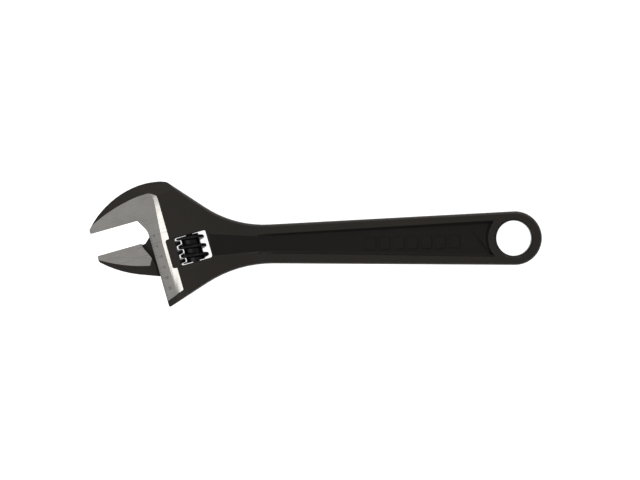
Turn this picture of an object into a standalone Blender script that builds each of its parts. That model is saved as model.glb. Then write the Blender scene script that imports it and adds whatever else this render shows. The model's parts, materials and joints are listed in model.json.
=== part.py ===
"""Adjustable wrench, 8 inch (200 mm) class: black forged body, ground jaw faces, knurled worm.

Frame: +X along the handle towards the hanging hole, +Y from the moving jaw to the fixed jaw,
+Z up, out of the flat side that faces up.  The origin is the middle of the assembly's box in X and Y,
and z = 0 is the lowest point.  The head is laid out in its own tilted frame, whose origin is the
middle of the worm: u runs along the jaw faces towards the handle, w is the closing direction.
Lengths are in millimetres and turned into metres when a mesh is made.
"""

from math import atan2, cos, degrees, pi, radians, sin, tan

import bmesh
import bpy
from mathutils import Matrix, Vector

MM = 0.001

# Overall
LENGTH = 205.7
MID_Z = 6.4
HANDLE_Y = -0.96
HEAD_ANGLE = 14.5
WORM_X, WORM_Y = -56.2, -2.06

# Thickness of the forging, as half thicknesses about its middle plane
HEAD_HALF = 5.9
GROUND_HALF = 5.0
POCKET_HALF = 5.38
NECK_HALF = 4.3
RING_HALF = 3.9
FORGING_ROUND = 1.5
NECK_X0, NECK_X1 = -51.5, -31.5

# Sunk panel: half thickness left at its floor, and how far its wall runs in, at three places
PANEL_X = (-48.0, -20.0, 80.0)
PANEL_HALF = (5.38, 3.3, 2.35)
PANEL_RUN = (0.3, 1.0, 1.55)
PANEL_UPPER = ((80.9, 7.27), (-25.5, 3.35), (-50.5, 4.5))
PANEL_LOWER = ((-48.5, -6.3), (-25.5, -5.25), (81.2, -9.19))
PANEL_BEND_RADIUS = 20.0

# Ring and handle
RING_RADIUS = 12.25
RING_X = LENGTH / 2 - RING_RADIUS
HOLE_X = RING_X - 0.5
HOLE_RADIUS = 8.0
HOLE_CHAMFER = 0.9
PANEL_END_RADIUS = 11.7
PANEL_EDGE_SWING, PANEL_FOOT_SWING = 36.0, 30.0

# Fixed jaw and strip, in the head frame
FIXED_FACE_W = 18.68
STRIP_U = -17.5
POCKET_U0, POCKET_U1 = -11.0, 8.9
POCKET_HALF_W = 6.7

# The ramp from the ground strip up to the forged face: it narrows upwards and ends round a corner
RAMP_FOOT_U = -12.45
RAMP_TOP_U = -9.0
TAPER_W = 6.0
CORNER_U, CORNER_W = -13.1, 25.4
CORNER_FOOT_U, CORNER_FOOT_W = -10.9, 29.2
CORNER_TOP_W = 30.4
TAPER_ROWS = 6

# The strip's black lower end: its upper edge, and how far it lies below the ground faces
END_W, END_SLOPE = -14.02, 0.3585
END_STEP = 0.25

# Worm, its window and its pin
WINDOW_U0, WINDOW_U1 = -7.0, 7.77
WINDOW_HALF_W = 6.4
PITCH = 4.13
WORM_CREST = 6.4
WORM_ROOT = 4.2
WORM_HALF_LENGTH = 6.1
RIDGE_W = -0.2
RIDGE_TOP, RIDGE_BASE = 0.9, 2.2
WORM_BORE = 1.75
COUNTERBORE = 3.0
COUNTERBORE_DEPTH = 4.0
WORM_SIDES, WORM_ROWS = 36, 42
PITCH_RADIUS = 5.3
PIN_RADIUS = 1.6
PIN_THREAD_RADIUS = 2.3
PIN_GAP = 0.3
PIN_TOP_W = 11.0
PIN_HEAD_W = -16.2
PIN_THREAD_LENGTH = 5.5
PIN_CHAMFER = 0.4

# Moving jaw, its web and its rack, in the head frame at rest
MOVING_FACE_W = 8.17
JAW_GAP = 0.3
JAW_EDGE_U = STRIP_U - JAW_GAP
WEB_HALF = 2.0
SLOT_HALF = WEB_HALF + 0.3
RACK_U = -8.9
RACK_RADIUS = 4.3
RACK_LOW, RACK_HIGH = -8.0, 16.0
BORE_RADIUS = RACK_RADIUS + 0.3
BORE_TOP = 27.0
TOOTH_ROOT_U = -6.95
TOOTH_TIP, TOOTH_BASE = 1.2, 1.75
LEAD_ANGLE = degrees(atan2(PITCH, 2 * pi * PITCH_RADIUS))
SLOT_TOP = 21.8

# Spring between the worm and the window's end
WIRE_RADIUS = 0.25
SPRING_RADIUS = 2.35
SPRING_TURNS = 4
STEPS_PER_TURN = 14
SPRING_CLEARANCE = 0.1

# Cutters: arc step in degrees, how far they stand above the faces, and how far they run right through
FINE_STEP = 12
CUTTER_RISE = 1.3
CUTTER_ABOVE = 3.0
THROUGH = 40.0

# Forged surfaces that fall away beyond a line in the head frame, by this much for each millimetre
SLOPE_DROP = 0.36
SLOPE_BACK, SLOPE_REACH, SLOPE_OVERLAP = 6.0, 14.0, 6.0
SLOPE_STEP = 5

BLACK = (0.022, 0.020, 0.018, 1.0)
GROUND = (0.200, 0.190, 0.175, 1.0)
DARK_STEEL = (0.012, 0.012, 0.012, 1.0)
PIN_STEEL = (0.055, 0.053, 0.050, 1.0)
SPRING_STEEL = (0.300, 0.300, 0.290, 1.0)


def clear_scene():
    for old in list(bpy.data.objects):
        bpy.data.objects.remove(old, do_unlink=True)


def new_collection(name):
    made = bpy.data.collections.new(name)
    bpy.context.scene.collection.children.link(made)
    return made


def material(name, colour, roughness, metallic):
    made = bpy.data.materials.new(name)
    made.use_nodes = True
    shader = made.node_tree.nodes["Principled BSDF"]
    shader.inputs["Base Color"].default_value = colour
    shader.inputs["Roughness"].default_value = roughness
    shader.inputs["Metallic"].default_value = metallic
    made.diffuse_color = colour
    return made


def head(u, w):
    """A point of the head frame, in the wrench's own X and Y."""
    turn = radians(HEAD_ANGLE)
    x = WORM_X + u * cos(turn) - w * sin(turn)
    y = WORM_Y + u * sin(turn) + w * cos(turn)
    return (x, y)


def arc(centre, radius, start, end, step=FINE_STEP):
    """Points on an arc, from one angle to another in degrees."""
    count = max(2, round(abs(end - start) / step) + 1)
    angles = [radians(start + (end - start) * i / (count - 1)) for i in range(count)]
    return [(centre[0] + radius * cos(a), centre[1] + radius * sin(a)) for a in angles]


def rounded(corners, step=FINE_STEP):
    """A closed outline through (x, y) points and (x, y, radius) corners rounded to that radius."""
    points = []
    for i, corner in enumerate(corners):
        here = Vector(corner[:2])
        radius = corner[2] if len(corner) > 2 else 0.0
        if radius == 0.0:
            points.append(tuple(here))
            continue
        back = (Vector(corners[i - 1][:2]) - here).normalized()
        ahead = (Vector(corners[(i + 1) % len(corners)][:2]) - here).normalized()
        half = back.angle(ahead) / 2
        centre = here + (back + ahead).normalized() * (radius / sin(half))
        start = here + back * (radius / tan(half)) - centre
        end = here + ahead * (radius / tan(half)) - centre
        sweep = start.angle_signed(end)
        first = atan2(start.y, start.x)
        count = max(2, round(degrees(abs(sweep)) / step) + 1)
        for k in range(count):
            angle = first - sweep * k / (count - 1)
            points.append((centre.x + radius * cos(angle), centre.y + radius * sin(angle)))
    return points


def add_object(name, mesh, collection):
    made = bpy.data.objects.new(name, mesh)
    collection.objects.link(made)
    return made


def plate(name, outline, low, high, collection):
    """A flat outline as a solid between two heights above the middle plane."""
    curve = bpy.data.curves.new(name, "CURVE")
    curve.dimensions = "2D"
    curve.fill_mode = "BOTH"
    curve.extrude = (high - low) / 2 * MM
    spline = curve.splines.new("POLY")
    spline.points.add(len(outline) - 1)
    for point, (x, y) in zip(spline.points, outline):
        point.co = (x * MM, y * MM, 0.0, 1.0)
    spline.use_cyclic_u = True
    drawn = add_object(name + "_curve", curve, collection)
    drawn.location.z = (high + low) / 2 * MM
    bpy.context.view_layer.update()
    mesh = bpy.data.meshes.new_from_object(drawn.evaluated_get(bpy.context.evaluated_depsgraph_get()))
    mesh.transform(drawn.matrix_world)
    bpy.data.objects.remove(drawn)
    tidy = bmesh.new()
    tidy.from_mesh(mesh)
    bmesh.ops.remove_doubles(tidy, verts=tidy.verts, dist=1e-6)
    bmesh.ops.dissolve_limit(tidy, angle_limit=radians(0.2), verts=tidy.verts, edges=tidy.edges)
    bmesh.ops.recalc_face_normals(tidy, faces=tidy.faces)
    tidy.to_mesh(mesh)
    tidy.free()
    mesh.name = name
    return add_object(name, mesh, collection)


def cylinder(name, radius, start, end, collection, sides=32):
    """A cylinder between two points given in millimetres."""
    start = Vector(start) * MM
    end = Vector(end) * MM
    axis = end - start
    shape = bmesh.new()
    place = Matrix.Translation((start + end) / 2) @ axis.to_track_quat("Z", "Y").to_matrix().to_4x4()
    bmesh.ops.create_cone(
        shape, cap_ends=True, segments=sides, radius1=radius * MM, radius2=radius * MM,
        depth=axis.length, matrix=place,
    )
    mesh = bpy.data.meshes.new(name)
    shape.to_mesh(mesh)
    shape.free()
    return add_object(name, mesh, collection)


def turned(name, profile, steps, collection):
    """A profile of (radius, height) points, turned about the object's Z axis."""
    mesh = bpy.data.meshes.new(name)
    points = [(radius * MM, 0, height * MM) for radius, height in profile]
    mesh.from_pydata(points, [(i, i + 1) for i in range(len(points) - 1)], [])
    made = add_object(name, mesh, collection)
    screw = made.modifiers.new("turn", "SCREW")
    screw.steps = steps
    screw.render_steps = steps
    screw.use_merge_vertices = True
    screw.merge_threshold = 1e-6
    return made


def ring_loft(name, rings, collection):
    """A closed skin through rings of equal count, the last ring joined back to the first."""
    shape = bmesh.new()
    loops = [[shape.verts.new(Vector(point) * MM) for point in ring] for ring in rings]
    count = len(loops[0])
    for a, b in zip(loops, loops[1:] + loops[:1]):
        for k in range(count):
            shape.faces.new((a[k], a[(k + 1) % count], b[(k + 1) % count], b[k]))
    bmesh.ops.recalc_face_normals(shape, faces=shape.faces)
    mesh = bpy.data.meshes.new(name)
    shape.to_mesh(mesh)
    shape.free()
    return add_object(name, mesh, collection)


def capped_loft(rings):
    """A closed shape through outlines of equal count, stacked upwards, with flat ends."""
    shape = bmesh.new()
    loops = [[shape.verts.new(Vector(point) * MM) for point in ring] for ring in rings]
    for low, high in zip(loops, loops[1:]):
        for k in range(len(low)):
            shape.faces.new((low[k - 1], low[k], high[k], high[k - 1]))
    shape.faces.new(list(reversed(loops[0])))
    shape.faces.new(loops[-1])
    bmesh.ops.recalc_face_normals(shape, faces=shape.faces)
    return shape


def boolean(target, other, operation="DIFFERENCE"):
    step = target.modifiers.new(operation.lower() + "_" + other.name, "BOOLEAN")
    step.operation = operation
    step.object = other
    step.solver = "EXACT"


def hide_cutter(cutter):
    cutter.hide_render = True
    cutter.display_type = "WIRE"


def cut(target, cutter, parent=None):
    hide_cutter(cutter)
    if parent is not None:
        cutter.parent = parent
    boolean(target, cutter)


def finish(target, paint, smooth_angle=35):
    target.data.materials.clear()
    target.data.materials.append(paint)
    target.data.shade_smooth()
    target.data.set_sharp_from_angle(angle=radians(smooth_angle))


def body_outline():
    """The forging seen from above: jaw tip, head back, neck, handle and ring, then back up the strip."""
    jaw_back = arc((-66.3, -11.76), 41.15, 116.6, 152.6, 5)
    head_top = arc((-69.8, -4.56), 33.1, 90.0, 116.6, 5)
    ring = arc((RING_X, HANDLE_Y), RING_RADIUS, -91.8, 91.8, 10)
    corners = [(-67.3, 28.24, 2.5)] + head_top + jaw_back[1:]
    corners += [(*head(-42.9, FIXED_FACE_W), 0.4)]
    corners += [(*head(-20.8, FIXED_FACE_W), 0.6), (*head(STRIP_U, 12.9), 6.0)]
    corners += [(*head(-17.4, -23.2), 0.6), (-35.87, -9.5, 55.0)]
    corners += ring + [(-37.07, 7.38, 49.0)]
    return rounded(corners)


def half_thickness(x):
    """The forging's half thickness along X: thick head, ramp down over the neck, slim handle."""
    if x < NECK_X0:
        return HEAD_HALF
    if x < NECK_X1:
        return HEAD_HALF + (NECK_HALF - HEAD_HALF) * (x - NECK_X0) / (NECK_X1 - NECK_X0)
    return NECK_HALF + (RING_HALF - NECK_HALF) * (x - NECK_X1) / (LENGTH / 2 - NECK_X1)


def side_outline():
    """The forging seen from the side, a little longer than the forging itself."""
    half = LENGTH / 2 + 5
    top = [(x, half_thickness(x)) for x in (-half, NECK_X0, NECK_X1, half)]
    return top + [(x, -z) for x, z in reversed(top)]


def panel_outline(runs, swing):
    """The sunk panel, drawn in by a distance at its start, its bend and its end along the ring."""
    start, bend, end = runs
    curve = arc((HOLE_X, HANDLE_Y), PANEL_END_RADIUS + end, 180 + swing, 180 - swing, swing / 4)
    (x0, y0), (x1, y1), (x2, y2) = PANEL_UPPER
    upper = [(x0 - end, y0 - end), (x1, y1 - bend, PANEL_BEND_RADIUS), (x2, y2 - start)]
    (x0, y0), (x1, y1), (x2, y2) = PANEL_LOWER
    lower = [(x0, y0 + start), (x1, y1 + bend, PANEL_BEND_RADIUS), (x2 - end, y2 + end)]
    return rounded(curve + upper + lower)


def panel_floor(x):
    """The panel floor's height above the middle plane; at the head it climbs to the pocket's floor."""
    k = 0 if x < PANEL_X[1] else 1
    share = (x - PANEL_X[k]) / (PANEL_X[k + 1] - PANEL_X[k])
    return PANEL_HALF[k] + (PANEL_HALF[k + 1] - PANEL_HALF[k]) * share


def slot_outline():
    """The jaw's slot: open to the left below the throat, with a slanted end inside the fixed jaw."""
    return [(-30.0, -THROUGH), (-8.0, -THROUGH), (-8.0, SLOT_TOP), (-17.4, SLOT_TOP),
            (-20.55, FIXED_FACE_W - 0.1), (-30.0, FIXED_FACE_W - 0.1)]


def ramp_lines():
    """The ramp's foot and its top, point for point, round the corner and the left edge of the head."""
    foot = [(RAMP_FOOT_U, -30.0)]
    top = [(RAMP_TOP_U, -30.0)]
    for i in range(TAPER_ROWS):
        share = i / TAPER_ROWS
        w = TAPER_W + (CORNER_W - TAPER_W) * share
        foot.append((RAMP_FOOT_U + (CORNER_FOOT_U - RAMP_FOOT_U) * share, w))
        top.append((RAMP_TOP_U, w))
    for right, up in arc((0, 0), 1.0, 0.0, 90.0):
        foot.append((CORNER_U + (CORNER_FOOT_U - CORNER_U) * right,
                     CORNER_W + (CORNER_FOOT_W - CORNER_W) * up))
        top.append((CORNER_U + (RAMP_TOP_U - CORNER_U) * right,
                    CORNER_W + (CORNER_TOP_W - CORNER_W) * up))
    foot += [(-50.0, CORNER_FOOT_W), (-50.0, -30.0)]
    top += [(-50.0, CORNER_TOP_W), (-50.0, -30.0)]
    return foot, top


def end_line(u):
    """The upper edge of the strip's black end."""
    return END_W + END_SLOPE * u


def facing(mesh, side):
    """Turns a cutter made for the upper side to the lower side when side is -1."""
    if side < 0:
        mesh.transform(Matrix.Diagonal((1, 1, -1, 1)))
        mesh.flip_normals()


def cutter_object(name, shape, side, collection):
    """A closed shape as a cutter, turned over to the lower side when side is -1."""
    shape.normal_update()
    bmesh.ops.recalc_face_normals(shape, faces=shape.faces)
    mesh = bpy.data.meshes.new(name)
    shape.to_mesh(mesh)
    shape.free()
    facing(mesh, side)
    return add_object(name, mesh, collection)


def ground_cutter(side, collection):
    """Grinds one flat side of the head; its right side climbs as a ramp to the forged face."""
    foot, top = ramp_lines()
    climb = CUTTER_RISE / (HEAD_HALF - GROUND_HALF)
    low = [(u, w, GROUND_HALF) for u, w in foot]
    high = [(u + (a - u) * climb, w + (b - w) * climb, GROUND_HALF + CUTTER_RISE)
            for (u, w), (a, b) in zip(foot, top)]
    return cutter_object(f"ground_{side:+d}", capped_loft([low, high]), side, collection)


def end_cutter(side, collection):
    """Lowers the strip's black end by a small step, ramp included, below a slanted line."""
    rings = []
    for rise in (0.0, CUTTER_RISE):
        right = RAMP_FOOT_U + (RAMP_TOP_U - RAMP_FOOT_U) * rise / (HEAD_HALF - GROUND_HALF)
        z = GROUND_HALF - END_STEP + rise
        rings.append([(-30.0, -THROUGH, z), (right, -THROUGH, z), (right, end_line(right), z),
                      (-30.0, end_line(-30.0), z)])
    return cutter_object(f"strip_end_{side:+d}", capped_loft(rings), side, collection)


def pocket_cutter(side, collection):
    """The shallow pocket in the head around the worm's window."""
    outline = rounded([
        (POCKET_U0, -POCKET_HALF_W, 1.0), (POCKET_U1, -POCKET_HALF_W, 2.0),
        (POCKET_U1, POCKET_HALF_W, 2.0), (POCKET_U0, POCKET_HALF_W, 1.0),
    ], 30)
    made = plate(f"pocket_{side:+d}", outline, POCKET_HALF, HEAD_HALF + CUTTER_ABOVE, collection)
    facing(made.data, side)
    return made


def panel_cutter(side, collection):
    """The sunk panel: sloping walls down to a floor that is bent at one place."""
    foot = panel_outline(PANEL_RUN, PANEL_FOOT_SWING)
    edge = panel_outline((0.0, 0.0, 0.0), PANEL_EDGE_SWING)
    shape = capped_loft([
        [(x, y, 0.0) for x, y in foot],
        [(x, y, half_thickness(x) - panel_floor(x)) for x, y in edge],
        [(x, y, HEAD_HALF) for x, y in edge],
    ])
    bmesh.ops.bisect_plane(
        shape, geom=shape.verts[:] + shape.edges[:] + shape.faces[:], plane_no=(1, 0, 0),
        plane_co=(PANEL_X[1] * MM, 0, 0),
    )
    for vertex in shape.verts:
        vertex.co.z += panel_floor(vertex.co.x / MM) * MM
    made = cutter_object(f"panel_{side:+d}", shape, side, collection)
    made.location.z = MID_Z * MM
    return made


def body_slopes():
    """The back of the fixed jaw falls away beyond an arc and the straight line that leaves it."""
    line = arc((-9.65, -40.35), 70.0, 118.45, 93.5, SLOPE_STEP)
    return line + [(4.0, 30.6)]


def jaw_slopes():
    """The moving jaw falls away under an arc, and at its heel beside the strip."""
    return [(-18.6, 1.0), (-20.6, -2.4)], arc((-5.5, 65.8), 70.0, 260.0, 237.6, SLOPE_STEP)


def slope_cutters(name, line, side, collection):
    """Slopes the forging down to the left of a line of points, as one tilted plane for each stretch."""
    cutters = []
    for k, (start, end) in enumerate(zip(line, line[1:])):
        start = Vector(start)
        length = (Vector(end) - start).length
        along = (Vector(end) - start).normalized()
        away = Vector((-along.y, along.x))
        shape = bmesh.new()
        bmesh.ops.create_cube(shape, size=1.0)
        for vertex in shape.verts:
            s = (length + 2 * SLOPE_OVERLAP) * (vertex.co.x + 0.5) - SLOPE_OVERLAP
            t = (SLOPE_REACH + SLOPE_BACK) * (vertex.co.y + 0.5) - SLOPE_BACK
            z = GROUND_HALF - SLOPE_DROP * t if vertex.co.z < 0 else 2 * HEAD_HALF
            flat = start + along * s + away * t
            vertex.co = Vector((flat.x, flat.y, z)) * MM
        cutters.append(cutter_object(f"{name}_{k}_{side:+d}", shape, side, collection))
    return cutters


def window_outline():
    return rounded([
        (WINDOW_U0, -WINDOW_HALF_W, 0.7), (WINDOW_U1, -WINDOW_HALF_W, 0.9),
        (WINDOW_U1, WINDOW_HALF_W, 0.9), (WINDOW_U0, WINDOW_HALF_W, 0.7),
    ], 30)


def hole_cutter(collection):
    """The hanging hole with a chamfer at both faces: a turned profile, outer side top to bottom."""
    chamfer_foot = RING_HALF - HOLE_CHAMFER
    flare = HOLE_RADIUS + HEAD_HALF - chamfer_foot
    profile = [
        (0, HEAD_HALF), (flare, HEAD_HALF), (HOLE_RADIUS, chamfer_foot),
        (HOLE_RADIUS, -chamfer_foot), (flare, -HEAD_HALF), (0, -HEAD_HALF),
    ]
    made = turned("hanging_hole", profile, 48, collection)
    made.location = (HOLE_X * MM, HANDLE_Y * MM, MID_Z * MM)
    return made


def pin_hole_cutter(collection):
    """The stepped hole for the worm's pin, drilled from the head's lower slope."""
    journal = PIN_RADIUS + PIN_GAP
    thread = PIN_THREAD_RADIUS + PIN_GAP
    top = PIN_TOP_W + PIN_GAP
    step = PIN_HEAD_W + PIN_THREAD_LENGTH + PIN_GAP
    profile = [(0, top), (journal, top), (journal, step), (thread, step), (thread, -THROUGH), (0, -THROUGH)]
    made = turned("pin_hole", profile, 20, collection)
    made.rotation_euler.x = radians(-90)
    return made


def evaluated_copy(source, name, collection):
    """The object's shape with its modifiers carried out, as a new object; the old one is removed."""
    bpy.context.view_layer.update()
    graph = bpy.context.evaluated_depsgraph_get()
    mesh = bpy.data.meshes.new_from_object(source.evaluated_get(graph))
    mesh.transform(source.matrix_world)
    bpy.data.objects.remove(source)
    return add_object(name, mesh, collection)


def in_mouth(point):
    """Whether a point lies on the jaw face, the throat or the strip's edge, which stay crisp."""
    turn = radians(HEAD_ANGLE)
    x = point.x / MM - WORM_X
    y = point.y / MM - WORM_Y
    u = x * cos(turn) + y * sin(turn)
    w = y * cos(turn) - x * sin(turn)
    return u < STRIP_U + 0.6 and w < FIXED_FACE_W + 1.6


def round_forging(blank):
    """Rounds the forging's outer edges, top and bottom, all the way round except in the mouth."""
    shape = bmesh.new()
    shape.from_mesh(blank.data)
    edges = []
    for edge in shape.edges:
        upright = sorted(abs(face.normal.z) for face in edge.link_faces)
        middle = (edge.verts[0].co + edge.verts[1].co) / 2
        if upright[0] < 0.3 and upright[1] > 0.7 and not in_mouth(middle):
            edges.append(edge)
    bmesh.ops.bevel(
        shape, geom=edges, offset=FORGING_ROUND * MM, offset_type="OFFSET", segments=2,
        profile=0.5, affect="EDGES", clamp_overlap=False,
    )
    shape.to_mesh(blank.data)
    shape.free()


def forge_blank(parts, cutters):
    """The body before machining: plan outline and side profile in one, edges rounded."""
    blank = plate("blank", body_outline(), -HEAD_HALF, HEAD_HALF, parts)
    side = plate("side_profile", side_outline(), -THROUGH, THROUGH, cutters)
    side.data.transform(Matrix.Rotation(radians(90), 4, "X"))
    boolean(blank, side, "INTERSECT")
    body = evaluated_copy(blank, "body", parts)
    bpy.data.objects.remove(side)
    round_forging(body)
    body.location.z = MID_Z * MM
    return body


def make_body(parts, cutters, head_frame, paint):
    body = forge_blank(parts, cutters)
    for side in (1, -1):
        cut(body, ground_cutter(side, cutters), head_frame)
        cut(body, pocket_cutter(side, cutters), head_frame)
        cut(body, panel_cutter(side, cutters))
        cut(body, end_cutter(side, cutters), head_frame)
        for slope in slope_cutters("jaw_back", body_slopes(), side, cutters):
            cut(body, slope, head_frame)
    slot = plate("jaw_slot", slot_outline(), -SLOT_HALF, SLOT_HALF, cutters)
    bore = cylinder("rack_bore", BORE_RADIUS, (RACK_U, -THROUGH, 0), (RACK_U, BORE_TOP, 0), cutters)
    window = plate("worm_window", window_outline(), -THROUGH, THROUGH, cutters)
    for cutter in (slot, bore, pin_hole_cutter(cutters), window):
        cut(body, cutter, head_frame)
    cut(body, hole_cutter(cutters))
    finish(body, paint)


def jaw_outline():
    """The moving jaw's full-thickness block, from its tip along the face and back under it."""
    under = arc((-7.64, 41.54), 50.3, 247.4, 226.6, 6)
    throat = [(-21.9, MOVING_FACE_W, 0.6), (-21.1, 5.5), (-20.0, 3.3), (-18.9, 0.6)]
    heel = [(JAW_EDGE_U, -3.5), (JAW_EDGE_U, -8.4)]
    return rounded([(-42.45, MOVING_FACE_W, 0.4)] + throat + heel + under + [(-42.6, 5.9)])


def web_outline():
    """The thin web that carries the jaw through the slot to its rack."""
    return [(-26.0, 4.0), (-21.8, 7.5), (-20.1, 7.8), (-16.9, 10.8), (RACK_U, 10.8),
            (RACK_U, RACK_LOW + 0.5), (-17.0, -6.8), (-26.0, -3.5)]


def tooth_gap_cutter(collection):
    """The gaps between the rack's teeth, leaning to match the worm's thread."""
    shape = bmesh.new()
    first = RIDGE_W - PITCH / 2
    lean = tan(radians(LEAD_ANGLE))
    half_root = (PITCH - TOOTH_BASE) / 2
    half_tip = (PITCH - TOOTH_TIP) / 2
    reach_u = RACK_U + RACK_RADIUS + 0.6
    for k in range(-1, 5):
        centre = first + PITCH * k
        flat = [(TOOTH_ROOT_U, centre - half_root), (reach_u, centre - half_tip),
                (reach_u, centre + half_tip), (TOOTH_ROOT_U, centre + half_root)]
        ends = []
        for z in (-RACK_RADIUS - 1, RACK_RADIUS + 1):
            ends.append([shape.verts.new(Vector((u, w - lean * z, z)) * MM) for u, w in flat])
        low, high = ends
        shape.faces.new(low)
        shape.faces.new(high)
        for i in range(4):
            shape.faces.new((low[i], low[(i + 1) % 4], high[(i + 1) % 4], high[i]))
    return cutter_object("tooth_gaps", shape, 1, collection)


def make_jaw(parts, cutters, head_frame, paint):
    jaw = plate("movable_jaw", jaw_outline(), -GROUND_HALF, GROUND_HALF, parts)
    for side in (1, -1):
        for k, line in enumerate(jaw_slopes()):
            for slope in slope_cutters(f"jaw_under_{k}", line, side, cutters):
                cut(jaw, slope, head_frame)
    web = plate("jaw_web", web_outline(), -WEB_HALF, WEB_HALF, cutters)
    rack = cylinder("jaw_rack", RACK_RADIUS, (RACK_U, RACK_LOW, 0), (RACK_U, RACK_HIGH, 0), cutters, 40)
    for piece in (web, rack):
        piece.parent = head_frame
        hide_cutter(piece)
        boolean(jaw, piece, "UNION")
    cut(jaw, tooth_gap_cutter(cutters), head_frame)
    jaw.parent = head_frame
    finish(jaw, paint)


def thread_radius(angle, w):
    """The worm's outer radius: a left-hand thread with sloping flanks and rounded crests."""
    along = (w - RIDGE_W + PITCH * angle / (2 * pi)) % PITCH
    off_ridge = min(along, PITCH - along)
    share = (RIDGE_BASE / 2 - off_ridge) / (RIDGE_BASE / 2 - RIDGE_TOP / 2)
    share = max(0.0, min(1.0, share))
    return WORM_ROOT + (WORM_CREST - WORM_ROOT) * sin(share * pi / 2)


def make_worm(parts, head_frame, paint):
    """The worm, turned from its own axis, which is the head frame's w axis."""
    angles = [2 * pi * k / WORM_SIDES for k in range(WORM_SIDES)]

    def ring(w, radius_at):
        return [(radius_at(a, w) * cos(a), w, -radius_at(a, w) * sin(a)) for a in angles]

    low, high = -WORM_HALF_LENGTH, WORM_HALF_LENGTH
    levels = [low + (high - low) * i / (WORM_ROWS - 1) for i in range(WORM_ROWS)]
    rings = [ring(w, thread_radius) for w in levels]
    floor = high - COUNTERBORE_DEPTH
    inner = [(high, COUNTERBORE), (floor, COUNTERBORE), (floor, WORM_BORE), (low, WORM_BORE)]
    for w, radius in inner:
        rings.append(ring(w, lambda a, _, r=radius: r))
    worm = ring_loft("worm", rings, parts)
    worm.parent = head_frame
    finish(worm, paint, 50)


def make_pin(parts, cutters, head_frame, paint):
    """The pin that the worm turns on: a smooth journal with a threaded, slotted end."""
    thread_start = PIN_HEAD_W + PIN_THREAD_LENGTH
    profile = [
        (0, PIN_TOP_W), (PIN_RADIUS - PIN_CHAMFER, PIN_TOP_W), (PIN_RADIUS, PIN_TOP_W - PIN_CHAMFER),
        (PIN_RADIUS, thread_start), (PIN_THREAD_RADIUS, thread_start - PIN_CHAMFER),
        (PIN_THREAD_RADIUS, PIN_HEAD_W + PIN_CHAMFER), (PIN_THREAD_RADIUS - PIN_CHAMFER, PIN_HEAD_W),
        (0, PIN_HEAD_W),
    ]
    pin = turned("worm_pin", profile, 24, parts)
    pin.rotation_euler.x = radians(-90)
    pin.parent = head_frame
    slot = cylinder("pin_slot", 0.4, (-5, PIN_HEAD_W, 0), (5, PIN_HEAD_W, 0), cutters, 8)
    cut(pin, slot, head_frame)
    finish(pin, paint)


def make_spring(parts, head_frame, paint):
    """The small coil spring that loads the worm against one end of its window."""
    low = WORM_HALF_LENGTH - COUNTERBORE_DEPTH + WIRE_RADIUS + SPRING_CLEARANCE
    high = WINDOW_HALF_W - WIRE_RADIUS - SPRING_CLEARANCE
    count = SPRING_TURNS * STEPS_PER_TURN
    wire = bpy.data.curves.new("worm_spring", "CURVE")
    wire.dimensions = "3D"
    wire.bevel_depth = WIRE_RADIUS * MM
    wire.bevel_resolution = 1
    wire.use_fill_caps = True
    spline = wire.splines.new("POLY")
    spline.points.add(count)
    for i, point in enumerate(spline.points):
        angle = 2 * pi * i / STEPS_PER_TURN
        w = low + (high - low) * i / count
        point.co = (SPRING_RADIUS * cos(angle) * MM, w * MM, -SPRING_RADIUS * sin(angle) * MM, 1.0)
    spring = add_object("worm_spring", wire, parts)
    wire.materials.append(paint)
    spring.parent = head_frame


def main():
    clear_scene()
    parts = new_collection("adjustable_wrench")
    cutters = new_collection("cutters")
    head_frame = bpy.data.objects.new("head_frame", None)
    head_frame.location = (WORM_X * MM, WORM_Y * MM, MID_Z * MM)
    head_frame.rotation_euler.z = radians(HEAD_ANGLE)
    parts.objects.link(head_frame)
    make_body(parts, cutters, head_frame, material("black_phosphate", BLACK, 0.45, 0.4))
    make_jaw(parts, cutters, head_frame, material("jaw_steel", GROUND, 0.4, 0.9))
    make_worm(parts, head_frame, material("worm_steel", DARK_STEEL, 0.4, 0.6))
    make_pin(parts, cutters, head_frame, material("pin_steel", PIN_STEEL, 0.4, 0.8))
    make_spring(parts, head_frame, material("spring_steel", SPRING_STEEL, 0.35, 1.0))


main()
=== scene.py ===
"""Looks of the adjustable wrench: fine meshes, procedural metals, soft studio light.

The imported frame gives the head's tilt, the worm's place and the tool's length.  Shapes are laid out in
millimetres: the body along X, the head in its own tilted frame, whose origin is the middle of the worm
(u along the jaw faces towards the handle, w in the closing direction, z up from the middle plane).
"""

import json
from contextlib import contextmanager
from math import atan2, cos, degrees, hypot, pi, radians, sin, tan

import bmesh
import bpy
from mathutils import Matrix, Vector


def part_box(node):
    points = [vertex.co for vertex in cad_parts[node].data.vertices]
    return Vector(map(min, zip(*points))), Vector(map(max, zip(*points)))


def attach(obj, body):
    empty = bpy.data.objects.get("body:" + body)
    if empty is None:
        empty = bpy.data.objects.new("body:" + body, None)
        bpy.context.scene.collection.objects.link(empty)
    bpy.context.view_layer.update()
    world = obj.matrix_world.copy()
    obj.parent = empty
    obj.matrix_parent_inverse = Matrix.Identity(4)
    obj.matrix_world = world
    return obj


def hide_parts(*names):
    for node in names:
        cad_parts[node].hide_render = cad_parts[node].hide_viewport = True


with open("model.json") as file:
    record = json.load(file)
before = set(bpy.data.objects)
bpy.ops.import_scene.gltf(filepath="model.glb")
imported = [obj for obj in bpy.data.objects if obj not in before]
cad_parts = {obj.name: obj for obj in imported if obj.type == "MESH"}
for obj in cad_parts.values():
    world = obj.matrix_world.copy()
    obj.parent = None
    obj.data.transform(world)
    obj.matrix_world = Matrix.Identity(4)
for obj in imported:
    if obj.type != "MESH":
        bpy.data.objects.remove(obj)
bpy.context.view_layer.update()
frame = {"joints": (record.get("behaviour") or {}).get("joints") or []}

MM = 0.001

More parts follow.
